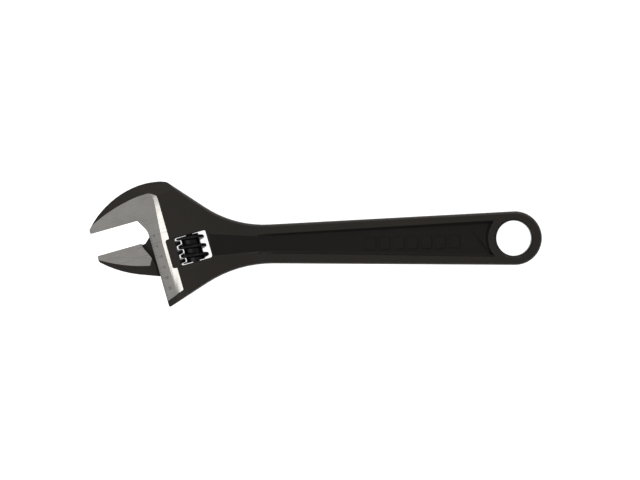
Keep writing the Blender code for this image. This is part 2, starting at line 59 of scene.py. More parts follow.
# Read from the frame
SPIN = next(joint for joint in frame["joints"] if joint["name"] == "worm_spin")
HEAD_TILT = atan2(-SPIN["axis"][0], SPIN["axis"][1])
WORM_X, WORM_Y, MID_Z = (value / MM for value in SPIN["pos_m"])
BODY_LOW, BODY_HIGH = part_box("body")
RING_END = BODY_HIGH.x / MM
LENGTH = RING_END - BODY_LOW.x / MM

# Half thicknesses of the forging about its middle plane, and how its edges and the neck's folds are rounded
HEAD_HALF = 5.9
GROUND_HALF = 5.0
POCKET_HALF = 5.38
NECK_HALF = 4.3
RING_HALF = 3.9
FORGING_ROUND = 1.5
NECK_X0, NECK_X1 = -51.5, -31.5
NECK_ROUND, NECK_STEP = 130.0, 0.6

# Sunk panel: half thickness left at its floor, and how far its wall runs in, at three places; then the
# corners of its upper and lower edge, and how much it widens for each millimetre away from its bend
PANEL_X = (-48.0, -20.0, 80.0)
PANEL_HALF = (5.38, 3.3, 2.35)
PANEL_RUN = (0.3, 1.0, 1.55)
PANEL_FOOT_ROUND = 0.22
PANEL_UPPER = ((80.9, 7.27), (-25.5, 3.35), (-50.5, 4.5))
PANEL_LOWER = ((-48.5, -6.3), (-25.5, -5.25), (81.2, -9.19))
PANEL_BEND_RADIUS = 20.0
PANEL_SPREAD = 0.037

# Ring and handle
HANDLE_Y = -0.96
RING_RADIUS = 12.25
RING_X = RING_END - RING_RADIUS
HOLE_X = RING_X - 0.5
HOLE_RADIUS = 8.0
HOLE_CHAMFER = 0.9
PANEL_END_RADIUS = 11.7
PANEL_EDGE_SWING, PANEL_FOOT_SWING = 36.0, 30.0

# Fixed jaw, strip, ramp and pocket, in the head frame
FIXED_FACE_W = 18.68
STRIP_U = -17.5
POCKET_U0, POCKET_U1 = -11.0, 8.9
POCKET_HALF_W = 6.7

# The ramp from the ground strip up to the forged face: it narrows upwards and ends round a corner
RAMP_FOOT_U = -12.45
RAMP_TOP_U = -9.0
TAPER_W = 6.0
CORNER_U, CORNER_W = -13.1, 25.4
CORNER_FOOT_U, CORNER_FOOT_W = -10.9, 29.2
CORNER_TOP_W = 30.4
TAPER_ROWS = 12

# The strip's black lower end: its upper edge, and how far it lies below the ground faces
END_W, END_SLOPE = -14.02, 0.3585
END_STEP = 0.25

# Worm, window, pin and spring
WINDOW_U0, WINDOW_U1 = -7.0, 7.77
WINDOW_HALF_W = 6.4
PITCH = 4.13
PITCH_RADIUS = 5.3
WORM_CREST = 6.35
WORM_ROOT = 4.2
WORM_HALF_LENGTH = 6.1
WORM_END_CHAMFER = 0.35
RIDGE_W = -0.2
RIDGE_TOP, RIDGE_BASE = 0.9, 2.2
KNURLS = 44
KNURL_DEPTH = 0.22
WORM_SIDES, WORM_ROWS = KNURLS * 6, 150
WORM_BORE = 1.75
COUNTERBORE = 3.0
COUNTERBORE_DEPTH = 4.0
PIN_RADIUS = 1.6
PIN_THREAD_RADIUS = 2.3
PIN_THREAD_PITCH = 0.8
PIN_THREAD_DEPTH = 0.3
PIN_GAP = 0.3
PIN_TOP_W = 11.0
PIN_HEAD_W = -16.2
PIN_THREAD_LENGTH = 5.5
PIN_CHAMFER = 0.4
DRIVER_SLOT_DEPTH, DRIVER_SLOT_HALF = 0.8, 0.35
WIRE_RADIUS = 0.25
SPRING_RADIUS = 2.35
SPRING_TURNS = 4
STEPS_PER_TURN = 40
SPRING_CLEARANCE = 0.1

# Moving jaw, its web and its rack, in the head frame at rest
MOVING_FACE_W = 8.17
SLIDE_GAP = 0.3
JAW_EDGE_U = STRIP_U - SLIDE_GAP
WEB_HALF = 2.0
SLOT_HALF = WEB_HALF + SLIDE_GAP
SLOT_TOP = 21.8
RACK_U = -8.9
RACK_RADIUS = 4.3
RACK_LOW, RACK_HIGH = -8.0, 16.0
BORE_RADIUS = RACK_RADIUS + SLIDE_GAP
BORE_TOP = 27.0
TOOTH_ROOT_U = -6.95
TOOTH_TIP, TOOTH_BASE = 1.2, 1.75

# Millimetre scale on the strip and the raised pads in the handle's panel
SCALE_ZERO_W = 10.2
SCALE_LENGTH = 29
TICK_WIDTH = 0.16
TICK_SHORT, TICK_LONG = 1.0, 1.5
LONG_EVERY = 5
MARK_DEPTH = 0.07
FIGURE_HEIGHT = 1.25
FONT_SIZE = FIGURE_HEIGHT * 1.35
FIGURE_DEPTH = 0.5
FIGURE_GAP = 0.35
PADS = 7
PAD_FIRST_X, PAD_PITCH = 24.9, 6.35
PAD_LENGTH, PAD_HEIGHT = 4.9, 5.8
PAD_Y = HANDLE_Y - 1.0
PAD_RISE = 0.45
PAD_ROOT = 0.8
PAD_CORNER = 1.1
PAD_SOFTNESS = 0.3

# Fineness of arcs, and which edges are broken or shaded crisp (angles in degrees)
ARC_STEP = 4
FINE_STEP = 2
SHORTEST_EDGE = 0.3
BLANK_CLOSEST = 0.08
EDGE_BREAK = 0.14
SHALLOW_STEP = 0.45
SHORTEST_BROKEN = 0.7 * SHORTEST_EDGE
BREAK_ANGLE = 40
CREASE_ANGLE = 32
CRISP_BEND = 8

# Studio: the floor's radius in metres and its own glow, the background that the camera sees, and the fill
# light's level against the height it comes from
FLOOR_RADIUS = 4.0
FLOOR_GLOW = 1.1
BACKDROP = 0.97
SKY = [(0.0, 0.04), (0.18, 0.10), (0.4, 0.50), (0.65, 0.38), (1.0, 0.34)]

# Camera: distance above the tool, width seen there and the middle of the view in metres, turn in degrees
CAMERA_DISTANCE = 1.4
SEEN_WIDTH = 0.2905
CAMERA_CENTRE = (0.00186, 0.00022)
CAMERA_TURN = -1.32

# Slots of every painted piece, in this order
# the fourth slot is the broken edges' painted highlight, the sixth the sunk panel's painted shade
BLACK, GROUND, MACHINED, EDGE_HIGHLIGHT, MARK, RECESS = range(6)

# Forged surfaces that fall away beyond a line in the head frame, by this much for each millimetre
SLOPE_DROP = 0.36
SLOPE_BACK, SLOPE_REACH, SLOPE_OVERLAP = 6.0, 14.0, 6.0
SLOPE_STEP = 1.5
CUTTER_RISE = 1.3

# How far cutters run on where they go right through, and how far they stand above the forged faces
THROUGH = 40.0
WINDOW_THROUGH = 12.0
CUTTER_ABOVE = 3.0

scene = bpy.context.scene


# ---------------------------------------------------------------- shapes

def head(u, w):
    """A point of the head frame, in the wrench's own X and Y."""
    x = WORM_X + u * cos(HEAD_TILT) - w * sin(HEAD_TILT)
    y = WORM_Y + u * sin(HEAD_TILT) + w * cos(HEAD_TILT)
    return (x, y)


HEAD_PLACE = (
    Matrix.Translation(Vector((WORM_X, WORM_Y, MID_Z)) * MM) @ Matrix.Rotation(HEAD_TILT, 4, "Z")
)
BODY_PLACE = Matrix.Translation((0, 0, MID_Z * MM))


def arc(centre, radius, start, end, step=ARC_STEP):
    """Points on an arc, from one angle to another in degrees."""
    count = max(2, round(abs(end - start) / step) + 1)
    angles = [radians(start + (end - start) * i / (count - 1)) for i in range(count)]
    return [(centre[0] + radius * cos(a), centre[1] + radius * sin(a)) for a in angles]


def rounded(corners, step=ARC_STEP):
    """A closed outline through (x, y) points and (x, y, radius) corners rounded to that radius."""
    points = []
    for i, corner in enumerate(corners):
        here = Vector(corner[:2])
        radius = corner[2] if len(corner) > 2 else 0.0
        if radius == 0.0:
            points.append(tuple(here))
            continue
        back = (Vector(corners[i - 1][:2]) - here).normalized()
        ahead = (Vector(corners[(i + 1) % len(corners)][:2]) - here).normalized()
        half = back.angle(ahead) / 2
        centre = here + (back + ahead).normalized() * (radius / sin(half))
        start = here + back * (radius / tan(half)) - centre
        end = here + ahead * (radius / tan(half)) - centre
        sweep = start.angle_signed(end)
        first = atan2(start.y, start.x)
        by_angle = degrees(abs(sweep)) / step
        by_length = radius * abs(sweep) / SHORTEST_EDGE
        count = max(3, round(min(by_angle, by_length)) + 1)
        for k in range(count):
            angle = first - sweep * k / (count - 1)
            points.append((centre.x + radius * cos(angle), centre.y + radius * sin(angle)))
    return points


def mesh_object(name, mesh):
    made = bpy.data.objects.new(name, mesh)
    scene.collection.objects.link(made)
    return made


def from_bmesh(name, shape):
    """A mesh object from a bmesh, which is freed."""
    mesh = bpy.data.meshes.new(name)
    shape.to_mesh(mesh)
    shape.free()
    return mesh_object(name, mesh)


@contextmanager
def editing(made):
    """The object's mesh as a bmesh, which is written back at the end."""
    shape = bmesh.new()
    shape.from_mesh(made.data)
    yield shape
    shape.to_mesh(made.data)
    shape.free()


def baked(name, source):
    """The source's evaluated shape as a new mesh object in its place; the source is removed."""
    bpy.context.view_layer.update()
    graph = bpy.context.evaluated_depsgraph_get()
    mesh = bpy.data.meshes.new_from_object(source.evaluated_get(graph))
    mesh.transform(source.matrix_world)
    bpy.data.objects.remove(source)
    return mesh_object(name, mesh)


def plate(name, outline, low, high):
    """A flat outline as a solid between two heights above the middle plane."""
    curve = bpy.data.curves.new(name, "CURVE")
    curve.dimensions = "2D"
    curve.fill_mode = "BOTH"
    curve.extrude = (high - low) / 2 * MM
    spline = curve.splines.new("POLY")
    spline.points.add(len(outline) - 1)
    for point, (x, y) in zip(spline.points, outline):
        point.co = (x * MM, y * MM, 0.0, 1.0)
    spline.use_cyclic_u = True
    drawn = mesh_object(name + "_curve", curve)
    drawn.location.z = (high + low) / 2 * MM
    made = baked(name, drawn)
    with editing(made) as shape:
        bmesh.ops.remove_doubles(shape, verts=shape.verts, dist=1e-6)
        bmesh.ops.dissolve_limit(shape, angle_limit=radians(0.2), verts=shape.verts, edges=shape.edges)
        bmesh.ops.recalc_face_normals(shape, faces=shape.faces)
    return made


def cylinder(name, radius, start, end, sides=96):
    """A cylinder between two points given in millimetres."""
    start = Vector(start) * MM
    end = Vector(end) * MM
    axis = end - start
    shape = bmesh.new()
    place = Matrix.Translation((start + end) / 2) @ axis.to_track_quat("Z", "Y").to_matrix().to_4x4()
    bmesh.ops.create_cone(
        shape, cap_ends=True, segments=sides, radius1=radius * MM, radius2=radius * MM,
        depth=axis.length, matrix=place,
    )
    return from_bmesh(name, shape)


def turned(name, profile, steps):
    """A profile of (radius, height) points, turned about the object's Z axis."""
    mesh = bpy.data.meshes.new(name)
    points = [(radius * MM, 0, height * MM) for radius, height in profile]
    mesh.from_pydata(points, [(i, i + 1) for i in range(len(points) - 1)], [])
    made = mesh_object(name, mesh)
    screw = made.modifiers.new("turn", "SCREW")
    screw.steps = steps
    screw.render_steps = steps
    screw.use_merge_vertices = True
    screw.merge_threshold = 1e-6
    return baked(name, made)


def ring_loft(name, rings):
    """A closed skin through rings of equal count, the last ring joined back to the first."""
    shape = bmesh.new()
    loops = [[shape.verts.new(Vector(point) * MM) for point in ring] for ring in rings]
    count = len(loops[0])
    for a, b in zip(loops, loops[1:] + loops[:1]):
        for k in range(count):
            shape.faces.new((a[k], a[(k + 1) % count], b[(k + 1) % count], b[k]))
    bmesh.ops.recalc_face_normals(shape, faces=shape.faces)
    return from_bmesh(name, shape)


def capped_loft(rings):
    """A closed shape through outlines of equal count, stacked upwards, with flat ends."""
    shape = bmesh.new()
    loops = [[shape.verts.new(Vector(point) * MM) for point in ring] for ring in rings]
    for low, high in zip(loops, loops[1:]):
        for k in range(len(low)):
            shape.faces.new((low[k - 1], low[k], high[k], high[k - 1]))
    shape.faces.new(list(reversed(loops[0])))
    shape.faces.new(loops[-1])
    shape.normal_update()
    bmesh.ops.recalc_face_normals(shape, faces=shape.faces)
    return shape


def join(name, pieces):
    """Separate solids as one object, for a cutter made of many."""
    shape = bmesh.new()
    for piece in pieces:
        piece.data.transform(piece.matrix_world)
        shape.from_mesh(piece.data)
        bpy.data.objects.remove(piece)
    return from_bmesh(name, shape)


def combine(target, others, operation="DIFFERENCE"):
    """Cuts or unites the target with the others, carries it out and removes them."""
    name = target.name
    for other in others:
        step = target.modifiers.new(other.name, "BOOLEAN")
        step.operation = operation
        step.object = other
        step.solver = "EXACT"
    target.name = name + "_raw"
    made = baked(name, target)
    for other in others:
        bpy.data.objects.remove(other)
    return made


def facing(made, side):
    """Turns a cutter made for the upper side to the lower side when side is -1."""
    if side < 0:
        made.data.transform(Matrix.Diagonal((1, 1, -1, 1)))
        made.data.flip_normals()
    return made


def in_head(made):
    made.data.transform(HEAD_PLACE)
    return made


def in_body(made):
    made.data.transform(BODY_PLACE)
    return made


def tidy(made, closest=0.02):
    """Merges points that lie very close together and dissolves needless edges."""
    with editing(made) as shape:
        bmesh.ops.remove_doubles(shape, verts=shape.verts, dist=closest * MM)
        bmesh.ops.dissolve_limit(shape, angle_limit=radians(0.4), verts=shape.verts, edges=shape.edges)


def close_slivers(made):
    """Closes hairline gaps of no width that cutting can leave along one edge."""
    with editing(made) as shape:
        rim = [edge for edge in shape.edges if edge.is_boundary]
        bmesh.ops.holes_fill(shape, edges=rim, sides=8)
        bmesh.ops.dissolve_degenerate(shape, dist=0.002 * MM, edges=shape.edges)


def soften(shape, edges, width, segments, **finish):
    """Rounds some of a bmesh's edges over a width given in millimetres."""
    bmesh.ops.bevel(
        shape, geom=edges, offset=width * MM, offset_type="OFFSET", segments=segments, profile=0.5,
        affect="EDGES", clamp_overlap=False, **finish,
    )


def break_edges(made):
    """Takes the sharp edges off, except at shallow steps, and gives the new faces the painted edge
    highlight.
    """
    with editing(made) as shape:
        sharp = []
        for edge in shape.edges:
            length = edge.calc_length()
            narrowest = min(face.calc_area() for face in edge.link_faces) / length
            roomy = narrowest > SHALLOW_STEP * MM and length > SHORTEST_BROKEN * MM
            if roomy and edge.calc_face_angle(0) > radians(BREAK_ANGLE):
                sharp.append(edge)
        soften(shape, sharp, EDGE_BREAK, 2, material=EDGE_HIGHLIGHT)


def shade(made):
    """Smooth shading, crisp at sharp edges, where a ground face ends, and at bends in some finishes."""
    made.data.shade_smooth()
    made.data.set_sharp_from_angle(angle=radians(CREASE_ANGLE))
    with editing(made) as shape:
        for edge in shape.edges:
            finishes = {face.material_index for face in edge.link_faces}
            crisp = finishes in ({GROUND}, {RECESS})
            bent = crisp and edge.calc_face_angle(0) > radians(CRISP_BEND)
            if bent or finishes == {BLACK, GROUND}:
                edge.smooth = False
    weigh = made.modifiers.new("weighted_normals", "WEIGHTED_NORMAL")
    weigh.keep_sharp = True
    weigh.weight = 80


# ---------------------------------------------------------------- outlines

def body_outline():
    """The forging seen from above: jaw tip, head back, neck, handle and ring, then back up the strip."""
    jaw_back = arc((-66.3, -11.76), 41.15, 116.6, 152.6, FINE_STEP)
    head_top = arc((-69.8, -4.56), 33.1, 90.0, 116.6, FINE_STEP)
    ring = arc((RING_X, HANDLE_Y), RING_RADIUS, -91.8, 91.8)
    corners = [(-67.3, 28.24, 2.5)] + head_top + jaw_back[1:]
    corners += [(*head(-42.9, FIXED_FACE_W), 0.4)]
    corners += [(*head(-20.8, FIXED_FACE_W), 0.6), (*head(STRIP_U, 12.9), 6.0)]
    corners += [(*head(-17.4, -23.2), 0.6), (-35.87, -9.5, 55.0)]
    corners += ring + [(-37.07, 7.38, 49.0)]
    return rounded(corners)


def half_thickness(x):
    """The forging's half thickness along X: thick head, ramp down over the neck, slim handle."""
    if x < NECK_X0:
        return HEAD_HALF
    if x < NECK_X1:
        return HEAD_HALF + (NECK_HALF - HEAD_HALF) * (x - NECK_X0) / (NECK_X1 - NECK_X0)
    return NECK_HALF + (RING_HALF - NECK_HALF) * (x - NECK_X1) / (RING_END - NECK_X1)


def side_outline():
    """The forging seen from the side, a little longer than the forging itself."""
    half = LENGTH / 2 + 5
    top = [(x, half_thickness(x), radius)
           for x, radius in ((-half, 0.0), (NECK_X0, NECK_ROUND), (NECK_X1, NECK_ROUND), (half, 0.0))]
    return rounded(top + [(x, -z, radius) for x, z, radius in reversed(top)], NECK_STEP)


def panel_outline(runs, swing):
    """The sunk panel, drawn in by a distance at its start, its bend and its end along the ring."""
    start, bend, end = runs
    curve = arc((HOLE_X, HANDLE_Y), PANEL_END_RADIUS + end, 180 + swing, 180 - swing, swing / 10)
    (x0, y0), (x1, y1), (x2, y2) = PANEL_UPPER
    upper = [(x0 - end, y0 - end), (x1, y1 - bend, PANEL_BEND_RADIUS), (x2, y2 - start)]
    (x0, y0), (x1, y1), (x2, y2) = PANEL_LOWER
    lower = [(x0, y0 + start), (x1, y1 + bend, PANEL_BEND_RADIUS), (x2 - end, y2 + end)]
    return rounded(curve + upper + lower)


def panel_floor(x):
    """The panel floor's height above the middle plane; at the head it climbs to the pocket's floor."""
    k = 0 if x < PANEL_X[1] else 1
    share = (x - PANEL_X[k]) / (PANEL_X[k + 1] - PANEL_X[k])
    return PANEL_HALF[k] + (PANEL_HALF[k + 1] - PANEL_HALF[k]) * share


def slot_outline():
    """The jaw's slot: open to the left below the throat, with a slanted end inside the fixed jaw."""
    return [(-30.0, -THROUGH), (-8.0, -THROUGH), (-8.0, SLOT_TOP), (-17.4, SLOT_TOP),
            (-20.55, FIXED_FACE_W - 0.1), (-30.0, FIXED_FACE_W - 0.1)]


def ramp_lines():
    """The ramp's foot and its top, point for point, round the corner and the left edge of the head."""
    foot = [(RAMP_FOOT_U, -30.0)]
    top = [(RAMP_TOP_U, -30.0)]
    for i in range(TAPER_ROWS):
        share = i / TAPER_ROWS
        w = TAPER_W + (CORNER_W - TAPER_W) * share
        foot.append((RAMP_FOOT_U + (CORNER_FOOT_U - RAMP_FOOT_U) * share, w))
        top.append((RAMP_TOP_U, w))
    for right, up in arc((0, 0), 1.0, 0.0, 90.0):
        foot.append((CORNER_U + (CORNER_FOOT_U - CORNER_U) * right,
                     CORNER_W + (CORNER_FOOT_W - CORNER_W) * up))
        top.append((CORNER_U + (RAMP_TOP_U - CORNER_U) * right,
                    CORNER_W + (CORNER_TOP_W - CORNER_W) * up))
    foot += [(-50.0, CORNER_FOOT_W), (-50.0, -30.0)]
    top += [(-50.0, CORNER_TOP_W), (-50.0, -30.0)]
    return foot, top


def end_line(u):
    """The upper edge of the strip's black end."""
    return END_W + END_SLOPE * u


def body_slopes():
    """The back of the fixed jaw falls away beyond an arc and the straight line that leaves it."""
    line = arc((-9.65, -40.35), 70.0, 118.45, 93.5, SLOPE_STEP)
    return line + [(4.0, 30.6)]


def jaw_slopes():
    """The moving jaw falls away under an arc, and at its heel beside the strip."""
    return [(-18.6, 1.0), (-20.6, -2.4)], arc((-5.5, 65.8), 70.0, 260.0, 237.6, SLOPE_STEP)


def pocket_outline():
    return rounded([
        (POCKET_U0, -POCKET_HALF_W, 1.0), (POCKET_U1, -POCKET_HALF_W, 2.0),
        (POCKET_U1, POCKET_HALF_W, 2.0), (POCKET_U0, POCKET_HALF_W, 1.0),
    ])


def window_outline():
    return rounded([
        (WINDOW_U0, -WINDOW_HALF_W, 0.7), (WINDOW_U1, -WINDOW_HALF_W, 0.9),
        (WINDOW_U1, WINDOW_HALF_W, 0.9), (WINDOW_U0, WINDOW_HALF_W, 0.7),
    ])


def jaw_outline():
    """The moving jaw's full-thickness block, from its tip along the face and back under it."""
    under = arc((-7.64, 41.54), 50.3, 247.4, 226.6)
    throat = [(-21.9, MOVING_FACE_W, 0.6), (-21.1, 5.5), (-20.0, 3.3), (-18.9, 0.6)]
    heel = [(JAW_EDGE_U, -3.5), (JAW_EDGE_U, -8.4)]
    return rounded([(-42.45, MOVING_FACE_W, 0.4)] + throat + heel + under + [(-42.6, 5.9)])


def web_outline():
    """The thin web that carries the jaw through the slot to its rack."""
    return [(-26.0, 4.0), (-21.8, 7.5), (-20.1, 7.8), (-16.9, 10.8), (RACK_U, 10.8),
            (RACK_U, RACK_LOW + 0.5), (-17.0, -6.8), (-26.0, -3.5)]


# ---------------------------------------------------------------- cutters

def ground_cutter(side):
    """Grinds one flat side of the head; its right side climbs as a ramp to the forged face."""
    foot, top = ramp_lines()
    climb = CUTTER_RISE / (HEAD_HALF - GROUND_HALF)
    low = [(u, w, GROUND_HALF) for u, w in foot]
    high = [(u + (a - u) * climb, w + (b - w) * climb, GROUND_HALF + CUTTER_RISE)
            for (u, w), (a, b) in zip(foot, top)]
    return in_head(facing(from_bmesh("ground", capped_loft([low, high])), side))


def end_cutter(side):
    """Lowers the strip's black end by a small step, ramp included, below a slanted line."""
    rings = []
    for rise in (0.0, CUTTER_RISE):
        right = RAMP_FOOT_U + (RAMP_TOP_U - RAMP_FOOT_U) * rise / (HEAD_HALF - GROUND_HALF)
        z = GROUND_HALF - END_STEP + rise
        rings.append([(-30.0, -THROUGH, z), (right, -THROUGH, z), (right, end_line(right), z),
                      (-30.0, end_line(-30.0), z)])
    return in_head(facing(from_bmesh("strip_end", capped_loft(rings)), side))


def pocket_cutter(side):
    """The shallow pocket in the head around the worm's window."""
    made = plate(f"pocket_{side:+d}", pocket_outline(), POCKET_HALF, HEAD_HALF + CUTTER_ABOVE)
    return in_head(facing(made, side))


def panel_cutter(side):
    """The sunk panel: sloping walls with a rounded foot, down to a floor that is bent at one place."""
    foot = panel_outline(PANEL_RUN, PANEL_FOOT_SWING)
    edge = panel_outline((0.0, 0.0, 0.0), PANEL_EDGE_SWING)
    shape = capped_loft([
        [(x, y, 0.0) for x, y in foot],
        [(x, y, half_thickness(x) - panel_floor(x)) for x, y in edge],
        [(x, y, HEAD_HALF) for x, y in edge],
    ])
    floor = min(shape.faces, key=lambda face: face.calc_center_median().z)
    soften(shape, list(floor.edges), PANEL_FOOT_ROUND, 3)
    bmesh.ops.bisect_plane(
        shape, geom=shape.verts[:] + shape.edges[:] + shape.faces[:], plane_no=(1, 0, 0),
        plane_co=(PANEL_X[1] * MM, 0, 0),
    )
    for vertex in shape.verts:
        vertex.co.z += panel_floor(vertex.co.x / MM) * MM
    return in_body(facing(from_bmesh("panel", shape), side))


def slope_cutters(line, side):
    """Slopes the forging down to the left of a line of points, as one tilted plane for each stretch."""
    cutters = []
    for start, end in zip(line, line[1:]):
        start = Vector(start)
        length = (Vector(end) - start).length
        along = (Vector(end) - start).normalized()
        away = Vector((-along.y, along.x))
        shape = bmesh.new()
        bmesh.ops.create_cube(shape, size=1.0)
        for vertex in shape.verts:
            s = (length + 2 * SLOPE_OVERLAP) * (vertex.co.x + 0.5) - SLOPE_OVERLAP
            t = (SLOPE_REACH + SLOPE_BACK) * (vertex.co.y + 0.5) - SLOPE_BACK
            z = GROUND_HALF - SLOPE_DROP * t if vertex.co.z < 0 else 2 * HEAD_HALF
            flat = start + along * s + away * t
            vertex.co = Vector((flat.x, flat.y, z)) * MM
        shape.normal_update()
        bmesh.ops.recalc_face_normals(shape, faces=shape.faces)
        cutters.append(in_head(facing(from_bmesh("slope", shape), side)))
    return cutters


def hole_cutter():
    """The hanging hole with a chamfer at both faces."""
    foot = RING_HALF - HOLE_CHAMFER
    flare = HOLE_RADIUS + HEAD_HALF - foot
    profile = [
        (0, HEAD_HALF), (flare, HEAD_HALF), (HOLE_RADIUS, foot),
        (HOLE_RADIUS, -foot), (flare, -HEAD_HALF), (0, -HEAD_HALF),
    ]
    made = turned("hanging_hole", profile, 128)
    made.data.transform(Matrix.Translation((HOLE_X * MM, HANDLE_Y * MM, 0)))
    return in_body(made)


def pin_hole_cutter():
    """The stepped hole for the worm's pin, drilled from the head's lower slope."""
    journal = PIN_RADIUS + PIN_GAP
    thread = PIN_THREAD_RADIUS + PIN_GAP
    top = PIN_TOP_W + PIN_GAP
    step = PIN_HEAD_W + PIN_THREAD_LENGTH + PIN_GAP
    profile = [
        (0, top), (journal, top), (journal, step), (thread, step), (thread, -THROUGH), (0, -THROUGH),
    ]
    made = turned("pin_hole", profile, 48)
    made.data.transform(Matrix.Rotation(radians(-90), 4, "X"))
    return in_head(made)


def tick_marks():
    """The scale's millimetre ticks as thin blades, in the head frame, for the upper side."""
    ticks = []
    for k in range(SCALE_LENGTH + 1):
        length = TICK_LONG if k % LONG_EVERY == 0 else TICK_SHORT
        w = SCALE_ZERO_W - k
        half = TICK_WIDTH / 2
        outline = [(STRIP_U - 1, w - half), (STRIP_U + length, w - half),
                   (STRIP_U + length, w + half), (STRIP_U - 1, w + half)]
        ticks.append(plate("tick", outline, GROUND_HALF - MARK_DEPTH, HEAD_HALF))
    return ticks


def figure(text, w, side):
    """One figure of the scale from the built-in font, reading upright from its own side."""
    curve = bpy.data.curves.new("figure", "FONT")
    curve.body = text
    curve.size = FONT_SIZE * MM
    curve.extrude = FIGURE_DEPTH * MM
    curve.resolution_u = 3
    curve.align_x = "LEFT" if side > 0 else "RIGHT"
    made = baked("figure", mesh_object("figure_curve", curve))
    with editing(made) as shape:
        bmesh.ops.remove_doubles(shape, verts=shape.verts, dist=1e-6)
        bmesh.ops.recalc_face_normals(shape, faces=shape.faces)
    turn = Matrix.Identity(4) if side > 0 else Matrix.Rotation(pi, 4, "Y")
    u = STRIP_U + TICK_LONG + FIGURE_GAP
    place = Vector((u, w - FIGURE_HEIGHT / 2, side * (GROUND_HALF - MARK_DEPTH + FIGURE_DEPTH))) * MM
    made.data.transform(Matrix.Translation(place) @ turn)
    return made


def scale_cutter(side):
    """Ticks and figures of the scale on one side of the strip."""
    ticks = [facing(tick, side) for tick in tick_marks()]
    figures = [figure(str(k), SCALE_ZERO_W - k, side) for k in range(0, SCALE_LENGTH, LONG_EVERY)]
    return in_head(join(f"scale_{side:+d}", ticks + figures))


def panel_pads(side):
    """A row of raised pads with soft edges in the panel."""
    pads = []
    for k in range(PADS):
        x = PAD_FIRST_X + PAD_PITCH * k
        a, b = PAD_LENGTH / 2, PAD_HEIGHT / 2
        outline = rounded([
            (x - a, PAD_Y - b, PAD_CORNER), (x + a, PAD_Y - b, PAD_CORNER),
            (x + a, PAD_Y + b, PAD_CORNER), (x - a, PAD_Y + b, PAD_CORNER),
        ])
        pad = plate("pad", outline, panel_floor(x) - PAD_ROOT, panel_floor(x) + PAD_RISE)
        with editing(pad) as shape:
            top = max(shape.faces, key=lambda face: face.calc_center_median().z)
            soften(shape, list(top.edges), PAD_SOFTNESS, 3)
        pads.append(in_body(facing(pad, side)))
    return pads


def tooth_gap_cutter():
    """The gaps between the rack's teeth, leaning to match the worm's thread."""
    gaps = []
    lean = PITCH / (2 * pi * PITCH_RADIUS)
    half_root = (PITCH - TOOTH_BASE) / 2
    half_tip = (PITCH - TOOTH_TIP) / 2
    reach_u = RACK_U + RACK_RADIUS + 0.6
    for k in range(-1, 5):
        centre = RIDGE_W - PITCH / 2 + PITCH * k
        flat = rounded([
            (TOOTH_ROOT_U, centre - half_root, 0.3), (reach_u, centre - half_tip),
            (reach_u, centre + half_tip), (TOOTH_ROOT_U, centre + half_root, 0.3),
        ])
        gap = plate("tooth_gap", flat, -RACK_RADIUS - 1, RACK_RADIUS + 1)
        for vertex in gap.data.vertices:
            vertex.co.y -= lean * vertex.co.z
        gaps.append(gap)
    return in_head(join("tooth_gaps", gaps))


# ---------------------------------------------------------------- metals

def shader_of(material):
    return material.node_tree.nodes["Principled BSDF"]


def add(tree, kind, **settings):
    """A node with some of its properties set."""
    node = tree.nodes.new(kind)
    for key, value in settings.items():
        setattr(node, key, value)
    return node


def stretched(tree, scale, turn=0.0):
    """Object coordinates turned about Z and scaled along each axis, in waves per metre."""
    place = add(tree, "ShaderNodeTexCoord")
    spun = add(tree, "ShaderNodeMapping", vector_type="TEXTURE")
    spun.inputs["Rotation"].default_value = (0, 0, turn)
    sized = add(tree, "ShaderNodeMapping")
    sized.inputs["Scale"].default_value = scale
    tree.links.new(place.outputs["Object"], spun.inputs["Vector"])
    tree.links.new(spun.outputs["Vector"], sized.inputs["Vector"])
    return sized.outputs["Vector"]


def noise(tree, vector, scale, detail=3.0, roughness=0.55):
    node = add(tree, "ShaderNodeTexNoise")
    node.inputs["Scale"].default_value = scale
    node.inputs["Detail"].default_value = detail
    node.inputs["Roughness"].default_value = roughness
    tree.links.new(vector, node.inputs["Vector"])
    return node.outputs["Fac"]


def ramp(tree, value, stops):
    """A colour ramp through (position, colour) stops; a colour can be one grey number."""
    node = add(tree, "ShaderNodeValToRGB")
    elements = node.color_ramp.elements
    while len(elements) < len(stops):
        elements.new(0.5)
    for element, (position, colour) in zip(elements, stops):
        element.position = position
        element.color = (colour, colour, colour, 1) if isinstance(colour, float) else (*colour, 1)
    tree.links.new(value, node.inputs["Fac"])
    return node.outputs["Color"]


def mix(tree, share, low, high):
    """Colour low where share is 0 and high where it is 1; each can be a colour or a node's output."""
    node = add(tree, "ShaderNodeMix", data_type="RGBA")
    tree.links.new(share, node.inputs["Factor"])
    for socket, value in (("A", low), ("B", high)):
        entry = next(s for s in node.inputs if s.name == socket and s.type == "RGBA")
        if isinstance(value, tuple):
            entry.default_value = (*value, 1)
        else:
            tree.links.new(value, entry)
    return next(s for s in node.outputs if s.type == "RGBA")


def bump(tree, heights):
    """Bumps one after another: (height output, strength, distance in metres)."""
    last = None
    for height, strength, distance in heights:
        node = add(tree, "ShaderNodeBump")
        node.inputs["Strength"].default_value = strength
        node.inputs["Distance"].default_value = distance
        tree.links.new(height, node.inputs["Height"])
        if last is not None:
            tree.links.new(last, node.inputs["Normal"])
        last = node.outputs["Normal"]
    tree.links.new(last, tree.nodes["Principled BSDF"].inputs["Normal"])


def metal(name, metallic, ior=1.5):
    made = bpy.data.materials.new(name)
    made.use_nodes = True
    shader_of(made).inputs["Metallic"].default_value = metallic
    shader_of(made).inputs["IOR"].default_value = ior
    return made


def link_shader(made, colour, roughness):
    tree = made.node_tree
    tree.links.new(colour, shader_of(made).inputs["Base Color"])
    tree.links.new(roughness, shader_of(made).inputs["Roughness"])


